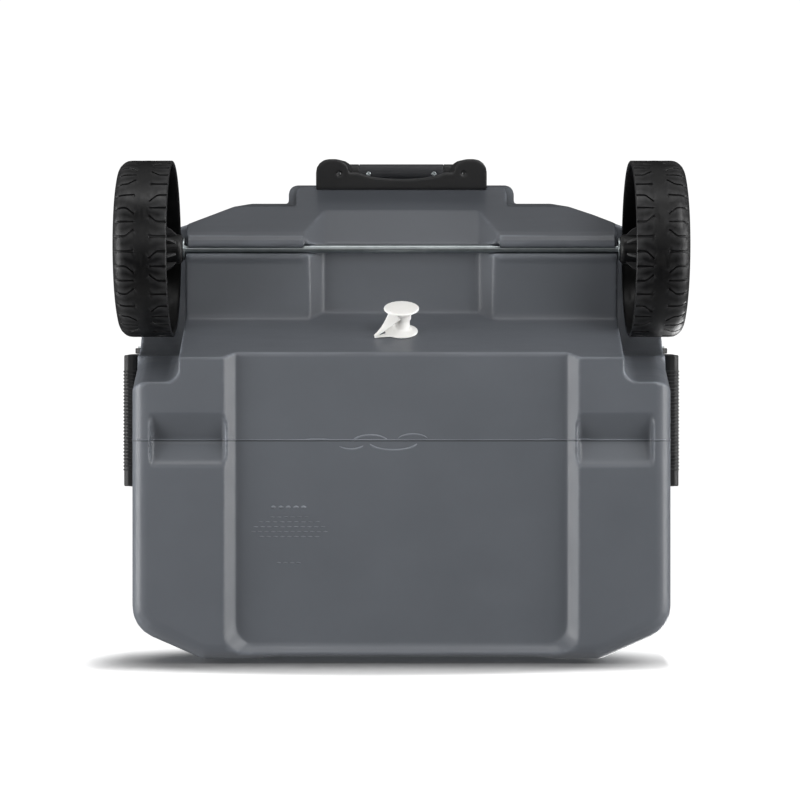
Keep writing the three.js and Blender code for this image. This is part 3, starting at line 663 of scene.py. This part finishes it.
def open_over_tub(mesh):
    """Takes away the lid of the solid where the tub is, leaving the rim under the tub's flange."""
    liner = tree_of("inner_liner")
    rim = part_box("outer_shell")[1].z
    around = ((0, 0), (RIM_BAND, 0), (-RIM_BAND, 0), (0, RIM_BAND), (0, -RIM_BAND))
    work = bmesh.new()
    work.from_mesh(mesh)
    over = []
    for face in work.faces:
        centre = face.calc_center_median()
        if centre.z < rim - RIM_BAND or face.normal.z < 0.9:
            continue
        for step_x, step_y in around:
            start = Vector((centre.x + step_x, centre.y + step_y, rim + 0.05))
            hit = liner.ray_cast(start, Vector((0, 0, -1)), 1.0)[0]
            if hit is not None and hit.z < rim - TUB_MIN_DEPTH:
                over.append(face)
                break
    bmesh.ops.delete(work, geom=over, context="FACES")
    work.to_mesh(mesh)
    work.free()
    return mesh


def make_body():
    """The body as an open shell over the tub. Gives back a tree of its surface, for the marks on it."""
    solid = evened(outside_of("outer_shell", "foam_core", FOAM_NEAR), BODY_VOXEL, BODY_ROUNDS)
    skin = thinned(open_over_tub(solid), BODY_TRIANGLES)
    surface = BVHTree.FromPolygons([v.co for v in skin.vertices], [p.vertices for p in skin.polygons])
    shell = evaluated(skin, [("SOLIDIFY", {"thickness": SHELL_WALL, "offset": -1})])
    piece("body_moulded", shell, "chassis", "body_plastic", sharp=60, replaces=["outer_shell"])
    return surface


def surface_point(surface, x, y):
    """The place and normal of the body's underside over a point, seen from below."""
    place, normal, _, _ = surface.ray_cast(Vector((x, y, -0.1)), Vector((0, 0, 1)), 1.0)
    return (place, normal) if place is not None else (None, None)


def ridge(path, normals, half_width, height):
    """A low bead along points on a surface, with a rounded top."""
    loops = []
    for k, (place, normal) in enumerate(zip(path, normals)):
        ahead = (path[min(k + 1, len(path) - 1)] - path[max(k - 1, 0)]).normalized()
        across = ahead.cross(normal).normalized()
        narrow = min(1.0, 0.25 + 0.25 * min(k, len(path) - 1 - k))
        half, tall = half_width * narrow, height * narrow
        loops.append([place + across * u * half + normal * v * tall
                      for u, v in ((-1, -1.2), (-0.75, 0.35), (0, 1), (0.75, 0.35), (1, -1.2))])
    return tube_of_loops(loops)


def along_surface(surface, points):
    """Places and normals on the underside for a list of (X, Y), without those that miss it."""
    found = [surface_point(surface, x, y) for x, y in points]
    found = [pair for pair in found if pair[0] is not None]
    return [place for place, _ in found], [normal for _, normal in found]


PARTING_HALF_WIDTH = 0.9 * MM
PARTING_HEIGHT = 0.75 * MM
PARTING_MAX_STEP = 60 * MM  # a longer step would cut across a hollow


def make_parting_line(surface):
    """The seam of the two mould halves, under the body and up both sides."""
    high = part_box("outer_shell")[1]
    path, normals = [], []
    corners = [(1, 1), (1, 0), (-1, 0), (-1, 1)]
    targets = [Vector((x * high.x * 1.2, PARTING_Y, high.z * 0.96 if top else -0.05)) for x, top in corners]
    for start, end in zip(targets, targets[1:]):
        steps = int((end - start).length / (2.0 * MM))
        for k in range(steps):
            outside = start.lerp(end, k / steps)
            upright = abs(start.x - end.x) < 0.01
            aim = Vector((-outside.x, 0, 0)) if upright else Vector((0, 0, 1))
            round_corner = outside.z < 0.02 if upright else abs(outside.x) > high.x * 0.93
            if round_corner:
                continue
            place, normal, _, _ = surface.ray_cast(outside, aim.normalized(), 2.0)
            if place is None or (path and (place - path[-1]).length > PARTING_MAX_STEP):
                continue
            path.append(place)
            normals.append(normal)
    mesh = joined("parting_line", [ridge(path, normals, PARTING_HALF_WIDTH, PARTING_HEIGHT)])
    piece("parting_line", mesh, "chassis", "body_plastic", sharp=180)


def arc_points(centre, radius, start, end, squeeze):
    """Points along an arc from start to end (radians), flattened in Y by the squeeze."""
    steps = max(6, int(abs(end - start) * radius / 0.002))
    angles = [start + (end - start) * k / steps for k in range(steps + 1)]
    return [(centre[0] + radius * math.cos(a), centre[1] + squeeze * radius * math.sin(a)) for a in angles]


def make_mould_marks(surface):
    """Faint swirls where the plastic was pinched off, and flash beside them on the seam."""
    swirls = [
        arc_points((0.038, PARTING_Y - 0.004), 0.022, 0.15, 2.9, 0.45),
        arc_points((0.010, PARTING_Y - 0.002), 0.030, 3.4, 6.0, 0.35),
        arc_points((-0.014, PARTING_Y - 0.003), 0.020, 0.3, 2.7, 0.5),
        arc_points((0.062, PARTING_Y - 0.005), 0.016, 3.5, 5.8, 0.4),
    ]
    parts = [ridge(*along_surface(surface, points), 1.5 * MM, 0.6 * MM) for points in swirls]
    for x, length in ((-0.168, 0.022), (-0.214, 0.018), (0.118, 0.03)):
        points = [(x - length * k / 12, PARTING_Y + 0.6 * MM) for k in range(13)]
        parts.append(ridge(*along_surface(surface, points), 1.3 * MM, 0.8 * MM))
    piece("mould_marks", joined("mould_marks", parts), "chassis", "body_plastic", sharp=180)


# Rows of bars: centre X and Y and length in metres, the bars' width in mm, and how many bars.
BAR_ROWS = [
    (0.137, -0.1300, 0.046, 5.0, 5),
    (0.136, -0.1420, 0.050, 1.9, 6),
    (0.136, -0.1480, 0.078, 1.9, 9),
    (0.136, -0.1540, 0.090, 1.9, 11),
    (0.136, -0.1600, 0.096, 1.9, 12),
    (0.136, -0.1660, 0.076, 1.9, 9),
    (0.137, -0.1980, 0.032, 2.4, 4),
]
BAR_HEIGHT = 1.1 * MM
BAR_SHARE = 0.72  # of its pitch that each bar takes up


def make_floor_bars(surface):
    """Plain raised bars on the floor panel, in rows of different lengths."""
    parts = []
    for x, y, length, width, bars in BAR_ROWS:
        for bar in range(bars):
            left = x + length * (0.5 - bar / bars)
            points = [(left - k * BAR_SHARE * length / bars / 8, y) for k in range(9)]
            parts.append(ridge(*along_surface(surface, points), width * MM / 2, BAR_HEIGHT))
    piece("floor_bars", joined("floor_bars", parts), "chassis", "body_plastic", sharp=180)


# Across a lip: (behind the axle's middle, above the block's face), in mm.
LIP_OUTLINE = [(1.6, 1.5), (1.6, -2.2), (2.6, -3.6), (4.2, -4.4), (8.6, -4.4), (11.0, -3.2), (15.0, -0.4),
               (17.5, 0.6), (17.5, 1.5)]
# Along a lip: (X in metres, how much of its root is left inside the body).
LIP_STATIONS = [(0.124, 0.2), (0.1265, 0.75), (0.130, 1.0), (0.262, 1.0), (0.2655, 0.75), (0.268, 0.2)]
AXLE_SUNK = 11 * MM  # from the axle's top down to the underside of the block that holds it


def make_axle_lips():
    """The rounded lip over the rear of the axle's groove, on both sides of the channel."""
    low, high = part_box("axle")
    y, block = (low.y + high.y) / 2, high.z - AXLE_SUNK
    parts = []
    for side in (1, -1):
        loops = []
        for x, root in LIP_STATIONS:
            loops.append([Vector((side * x, y + v * MM, block + min(w, w * root) * MM))
                          for v, w in LIP_OUTLINE])
        if side < 0:
            loops = loops[::-1]
        parts.append(tube_of_loops(loops))
    mesh = joined("axle_lips", parts)
    piece("axle_lips", mesh, "chassis", "body_plastic", sharp=70)


# ------------------------------------------------------------------ wheels
GROOVES = 38
GROOVE_DEPTH = 1.7 * MM
# Across one groove's share of the tread: (how far on, how deep).
COLUMNS = [(0.0, 1.0), (0.05, 1.0), (0.085, 0.0), (0.3, -0.05), (0.5, -0.07), (0.7, -0.05), (0.915, 0.0),
           (0.95, 1.0)]
# How each groove of a repeating set of four bends at its inner end, in groove pitches.
OUTER_BENDS = (0.0, 0.45, 0.0, -0.45)
INNER_BENDS = (-0.5, 0.0, 0.42, 0.0)
WHEEL_RIBS = 8
WHEEL_WIDTH = 67  # mm


def tread_mesh(low, high, centre):
    """The ribbed rolling surface: two rows of grooves with a smooth band between them."""
    radius = (high.z - low.z) / 2
    inner_x = high.x - WHEEL_WIDTH * MM
    # Rows from the inner edge to the outer: X in mm, mm below the full radius, groove depth, bend share.
    rows = [(0.0, 1.6, 0, 0), (0.8, 0.3, 0, 0), (1.6, 0.0, 1, 0), (10, 0.0, 1, 0), (13, 0.0, 1, 0.12),
            (17, 0.0, 1, 0.55), (21, 0.0, 1, 1.0), (22.5, 0.0, 0, 1.0), (27, -0.1, 0, 0.5),
            (31, -0.2, 0, 0.0), (35, -0.1, 0, -0.5), (39.5, 0.0, 0, -1.0), (41, 0.0, 1, -1.0),
            (45, 0.0, 1, -0.55), (49, 0.0, 1, -0.12), (52, 0.1, 1, 0), (56, 0.6, 1, 0), (59.5, 2.2, 1, 0),
            (62, 4.2, 0.6, 0), (64.5, 6.8, 0, 0), (66.2, 10.0, 0, 0), (67.0, 14.0, 0, 0)]
    points, faces = [], []
    for x, drop, depth, bend in rows:
        bends = INNER_BENDS if bend > 0 else OUTER_BENDS
        for groove in range(GROOVES):
            here = bends[groove % 4] * abs(bend)
            after = bends[(groove + 1) % 4] * abs(bend)
            for share, cut in COLUMNS:
                turn = 2 * math.pi * (groove + share + here * (1 - share) + after * share) / GROOVES
                deep = cut * depth if cut > 0 else cut * min(depth, 1)
                r = radius - drop * MM - deep * GROOVE_DEPTH
                points.append((inner_x + x * MM,
                               centre[0] + r * math.cos(turn), centre[1] + r * math.sin(turn)))
    count = GROOVES * len(COLUMNS)
    for i in range(len(rows) - 1):
        for k in range(count):
            n = (k + 1) % count
            faces.append((i * count + k, i * count + n, (i + 1) * count + n, (i + 1) * count + k))
    return points, faces


def rib_part(centre, turn, outline, half_width):
    """A flat rib of a wheel, from an outline of (X, radius) corners in mm."""
    across = Vector((0, -math.sin(turn), math.cos(turn)))
    out = Vector((0, math.cos(turn), math.sin(turn)))
    middle = Vector((0, *centre))
    loops = []
    for side in (-1.0, -0.6, 0.6, 1.0):
        loops.append([middle + Vector((x * MM, 0, 0)) + out * (r * MM) + across * side * half_width * MM
                      for x, r in outline])
    return tube_of_loops(loops)


def wheel_parts():
    """A hollow blow-moulded wheel: tread, outer face, web, hub and stiffening ribs."""
    low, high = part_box("wheel_left")
    centre = ((low.y + high.y) / 2, (low.z + high.z) / 2)
    outer, radius = high.x / MM, (high.z - low.z) / 2 / MM
    inner = outer - WHEEL_WIDTH
    hub = low.x / MM
    # From the tread's outer edge over the outer face, through the bore and the web to its inner edge.
    face = [
        (radius - 14, outer), (radius - 20, outer - 0.6), (radius - 24, outer - 3.5),
        (radius - 29, outer - 4.5), (78, outer - 5), (60, outer - 8), (40, outer - 9),
        (34.5, outer - 9.6), (33.4, outer - 10.6), (33, outer - 19), (32, outer - 19.5),
        (6.4, outer - 19.5), (5.5, outer - 20.5), (5.5, hub + 0.8), (6.3, hub), (16, hub),
        (17, hub + 1), (18.5, hub + 5), (21, hub + 52), (24, hub + 56), (60, outer - 16),
        (98, outer - 16), (103, outer - 19), (105, outer - 25), (105.6, inner + 3),
        (106.4, inner + 0.6), (107.4, inner), (radius - 1.6, inner),
    ]
    points, faces = lathe([(r * MM, x * MM) for r, x in face], GROOVES * len(COLUMNS), centre)
    parts = [tread_mesh(low, high, centre), (points, [f[::-1] for f in faces])]
    web = [(hub + 6, 17.5), (hub + 60, 17.5), (outer - 16, 60), (outer - 16, 98), (outer - 21, 98),
           (hub + 48, 44), (hub + 14, 26)]
    for k in range(WHEEL_RIBS):
        parts.append(rib_part(centre, 2 * math.pi * (k + 0.5) / WHEEL_RIBS, web, 1.4))
    return parts


def make_wheels():
    mesh = joined("wheel_left_moulded", wheel_parts())
    facing_out(mesh)
    piece("wheel_left_moulded", mesh, "wheel_l", "wheel_plastic", sharp=38, replaces=["wheel_left"])
    piece("wheel_right_moulded", mirrored(mesh, "wheel_right_moulded"), "wheel_r", "wheel_plastic",
          sharp=38, replaces=["wheel_right"])
    soften_pair("hub_cap", 0.9 * MM, 4, 12000)
    soften_pair("push_nut", 0.5 * MM, 2, 8000)
    soften_pair("wheel_spacer", 0.5 * MM, 2, 8000)


def make_axle():
    low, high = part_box("axle")
    centre = ((low.y + high.y) / 2, (low.z + high.z) / 2)
    radius = (high.z - low.z) / 2
    end = high.x
    half = [(0.1 * MM, end), (radius * 0.55, end), (radius - 0.9 * MM, end - 0.2 * MM),
            (radius, end - 1.3 * MM)]
    profile = half + [(r, -x) for r, x in reversed(half)]
    mesh = joined("axle_rod", [lathe(profile, 40, centre)])
    facing_out(mesh, fill=True)
    piece("axle_rod", mesh, "chassis", "zinc_steel", replaces=["axle"])


# ------------------------------------------------------------------ side handles
RIB_PITCH = 4.7 * MM
RIB_COUNT = 29
# Along a rib: (from its middle, how much it stands out from the grip), in mm.
RIB_STATIONS = [(-1.35, -0.5), (-1.0, 0.7), (-0.45, 1.1), (0.45, 1.1), (1.0, 0.7), (1.35, -0.5)]


def rounded_loop(centre_x, y, centre_z, half_x, half_z, radius):
    """A rounded rectangle of points square to Y."""
    loop = []
    for cx, cz, start in ((1, 1, 0), (-1, 1, 90), (-1, -1, 180), (1, -1, 270)):
        for k in range(5):
            a = math.radians(start + k * 22.5)
            loop.append(Vector((centre_x + cx * (half_x - radius) + radius * math.cos(a), y,
                                centre_z + cz * (half_z - radius) + radius * math.sin(a))))
    return loop


def make_handle_ribs(node, body, name):
    """Raised ribs round a carry handle's grip, for the fingers."""
    low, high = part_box(node)
    side = 1 if high.x > 0 else -1
    outside = high.x if side > 0 else low.x
    centre_x = outside - side * 9.5 * MM
    centre_z = low.z + 12 * MM
    middle = (low.y + high.y) / 2
    parts = []
    for k in range(RIB_COUNT):
        y = middle + (k - (RIB_COUNT - 1) / 2) * RIB_PITCH
        loops = [rounded_loop(centre_x, y + dy * MM, centre_z,
                              (9.3 + grow) * MM, (11.8 + grow) * MM, (6 + grow) * MM)
                 for dy, grow in RIB_STATIONS]
        parts.append(tube_of_loops(loops))
    mesh = joined(name, parts)
    facing_out(mesh)
    piece(name, mesh, body, "black_plastic", sharp=50)


def make_side_handles():
    soften_pair("side_handle", 1.1 * MM, 3, 24000)
    make_handle_ribs("side_handle_left", "side_handle_l", "handle_ribs_left")
    make_handle_ribs("side_handle_right", "side_handle_r", "handle_ribs_right")
    for end in ("_rear", "_front"):
        soften_pair("handle_bracket", 0.8 * MM, 3, 12000, tail=end)
        soften_pair("handle_pin", 0.4 * MM, 2, 6000, tail=end)


# ------------------------------------------------------------------ tow handle
SCREW_SIDES = 24


def screw_head(centre, axis, radius, depth):
    """A domed head with a cross recess, as rings of points from the rim to the middle."""
    axis = axis.normalized()
    right = axis.orthogonal().normalized()
    up = axis.cross(right)
    rings = [(1.0, -0.9), (1.0, 0.0), (0.9, 0.35), (0.75, 0.55), (0.62, 0.66), (0.5, 0.74), (0.38, 0.8),
             (0.27, 0.84), (0.16, 0.87), (0.08, 0.88)]
    loops = []
    for share, height in rings:
        loop = []
        for k in range(SCREW_SIDES):
            a = 2 * math.pi * k / SCREW_SIDES
            u, v = share * math.cos(a), share * math.sin(a)
            in_cross = share < 0.66 and min(abs(u), abs(v)) < 0.13
            lift = height - (1.1 * (1 - share) if in_cross else 0.0)
            loop.append(centre + (right * u + up * v) * radius + axis * lift * depth)
        loops.append(loop)
    return tube_of_loops(loops)


def let_light_past_tow_handle(lights):
    """Keeps the tow handle from shading the slope beside it, as the photograph shows no such shadow."""
    pieces = [made for made in SCENE.objects if made.name.startswith("tow_")]
    past = group_of("past_the_tow_handle", pieces, "EXCLUDE")
    for light in lights:
        light.light_linking.blocker_collection = past


def make_tow_handle():
    soften("tow_housing", 1.6 * MM, 3, 60000)
    soften("tow_grip_core", 0.9 * MM, 3, 40000)
    soften("tow_grip_sleeve", 0.9 * MM, 3, 40000)
    soften("tow_button", 0.6 * MM, 4, 8000)
    soften_pair("tow_tube_mid", 0.55 * MM, 1, 40000)
    soften_pair("tow_tube_inner", 0.55 * MM, 1, 40000)
    lean = Vector(JOINTS["tow_upper_slide"]["axis"]).normalized()
    for label in ("left", "right"):
        node = f"tow_grip_screw_{label}"
        low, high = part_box(node)
        centre = (low + high) / 2
        foot = Vector((centre.x, centre.y, low.z)) + lean * 0.8 * MM
        radius = (high.x - low.x) / 2
        mesh = joined(node + "_head", [screw_head(foot, -lean, radius, 0.9 * MM)])
        facing_out(mesh)
        piece(node + "_head", mesh, "tow_handle", "zinc_steel", replaces=[node])


# ------------------------------------------------------------------ drain plug
DRAIN_CAP_TOP = 34.2 * MM
# The strap, in mm and in the drain's own axes.
STRAP_TIP = Vector((33.5, 15.5, 2.2))
STRAP_TIP_HALF = 1.9
LOWER_TIP_DROP = Vector((0, 0, -0.9))
UPPER_ROOT_ANGLE = math.radians(58)
LOWER_ROOT_ANGLE = math.radians(34)
# Across the strap: (share of its half width, share of its half thickness).
STRAP_SECTION = [(-1, -0.5), (-0.8, -1), (0.8, -1), (1, -0.5), (1, 0.5), (0.8, 1), (-0.8, 1), (-1, 0.5)]


def drain_frame():
    """Local axes of the drain: +Z out of the wall, +X along the box; the origin on the wall."""
    out = Vector(JOINTS["drain_cap_pull"]["axis"]).normalized()
    right = Vector((1, 0, 0))
    place = Matrix((right, out.cross(right), out)).transposed().to_4x4()
    low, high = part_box("drain_cap")
    cap_top = (low + high) / 2
    along = [(Vector(v.co) - cap_top).dot(out) for v in NODES["drain_cap"].data.vertices]
    place.translation = cap_top + out * (max(along) - DRAIN_CAP_TOP)
    return place


def on_rim(angle, radius, height):
    return Vector((radius * math.cos(angle), radius * math.sin(angle), height))


def strap_half(start, tip, start_half, lift, facing):
    """A tapering tab from a rim at start to the tip, its flat side square to the facing direction."""
    loops = []
    steps = 14
    side = facing.cross(tip - start).normalized()
    thick = side.cross(tip - start).normalized()
    for k in range(steps + 1):
        s = k / steps
        place = start.lerp(tip, s) + Vector((0, 0, lift * math.sin(math.pi * s)))
        half = STRAP_TIP_HALF + (start_half - STRAP_TIP_HALF) * (1 - s) ** 1.7
        loops.append([place + side * u * half + thick * v * 0.9 for u, v in STRAP_SECTION])
    return loops


def make_drain():
    soften("drain_cap", 0.5 * MM, 3, 30000)
    soften("drain_spout", 0.55 * MM, 2, 30000)
    frame_matrix = drain_frame()
    to_drain = frame_matrix.to_3x3().inverted()
    below = to_drain @ Vector((0, 0, 1))
    flat = to_drain @ Vector(JOINTS["drain_cap_pull"]["axis"])
    upper = strap_half(on_rim(UPPER_ROOT_ANGLE, 13, 30.9), STRAP_TIP, 9.5, -2.5, below)
    lower = strap_half(on_rim(LOWER_ROOT_ANGLE, 12, 1.6), STRAP_TIP + LOWER_TIP_DROP, 9.0, 0.0, flat)
    parts = []
    for loops in (upper, lower):
        placed = [[frame_matrix @ (point * MM) for point in loop] for loop in loops]
        parts.append(tube_of_loops(placed))
    mesh = joined("drain_strap", parts)
    facing_out(mesh)
    mesh = evaluated(mesh, [("SUBSURF", {"levels": 1})])
    piece("drain_strap", mesh, "chassis", "white_plastic", sharp=180, replaces=["drain_tether"])


# ------------------------------------------------------------------ lid, hinges and latches
LID_VOXEL = 3.0 * MM
LID_TRIANGLES = 90000
PANEL_DEPTH = 2.6 * MM
PANEL_HALF_X = 0.275
PANELS = ((-0.075, 0.150), (0.160, 0.052))  # each panel's middle and half length in Y, from the lid's middle


def rounded_box_distance(x, y, half_x, half_y, radius):
    """Distance outside a rounded rectangle, negative inside it."""
    dx = np.maximum(np.abs(x) - half_x + radius, 0)
    dy = np.maximum(np.abs(y) - half_y + radius, 0)
    inside = np.minimum(np.maximum(np.abs(x) - half_x, np.abs(y) - half_y), 0)
    return np.where(inside < -radius, inside, np.hypot(dx, dy) - radius)


def press_panels(mesh, top, centre_y):
    """Sinks two shallow panels into the lid's top, with soft edges."""
    count = len(mesh.vertices)
    points = np.empty(count * 3)
    mesh.vertices.foreach_get("co", points)
    points = points.reshape(-1, 3)
    upper = points[:, 2] > top - 2.2 * MM
    sink = np.zeros(count)
    for panel_y, half_y in PANELS:
        y = points[:, 1] - centre_y - panel_y
        away = rounded_box_distance(points[:, 0], y, PANEL_HALF_X, half_y, 0.03)
        share = np.clip(-away / (6 * MM), 0, 1)
        sink = np.maximum(sink, share * share * (3 - 2 * share))
    points[:, 2] -= PANEL_DEPTH * sink * upper
    mesh.vertices.foreach_set("co", points.ravel())
    mesh.update()


def make_lid():
    work = welded("lid_shell")
    mesh = bpy.data.meshes.new("lid_moulded")
    work.to_mesh(mesh)
    work.free()
    low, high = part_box("lid_shell")
    dense = evened(mesh, LID_VOXEL, 5)
    press_panels(dense, high.z, (low.y + high.y) / 2)
    mesh = thinned(evaluated(dense, [("SMOOTH", {"factor": 0.5, "iterations": 3})]), LID_TRIANGLES)
    piece("lid_moulded", mesh, "lid", "lid_plastic", sharp=60, replaces=["lid_shell"])
    for stem in ("hinge_body", "hinge_lid", "latch_mount", "latch_strike", "latch"):
        soften_pair(stem, 0.9 * MM, 3, 16000)
    for stem in ("hinge_pin", "latch_pin"):
        soften_pair(stem, 0.4 * MM, 2, 8000)


def finish_cad_nodes():
    """The CAD solids that stay: their own slot's material, their split corners welded and their sharp edges
    bevelled.
    """
    for name, made in NODES.items():
        if made.hide_render:
            continue
        made.data.materials.clear()
        made.data.materials.append(MATERIALS[SLOT_OF[name]])
        weld = made.modifiers.new("weld", "WELD")
        weld.merge_threshold = 2e-6
        bevel = made.modifiers.new("edges", "BEVEL")
        bevel.width = 0.5 * MM
        bevel.segments = 2
        bevel.limit_method = "ANGLE"
        bevel.angle_limit = math.radians(50)


make_camera()
object_lights = make_stage()
body_surface = make_body()
make_parting_line(body_surface)
make_mould_marks(body_surface)
make_floor_bars(body_surface)
make_axle_lips()
make_wheels()
make_axle()
make_side_handles()
make_tow_handle()
let_light_past_tow_handle(object_lights)
make_drain()
make_lid()
finish_cad_nodes()
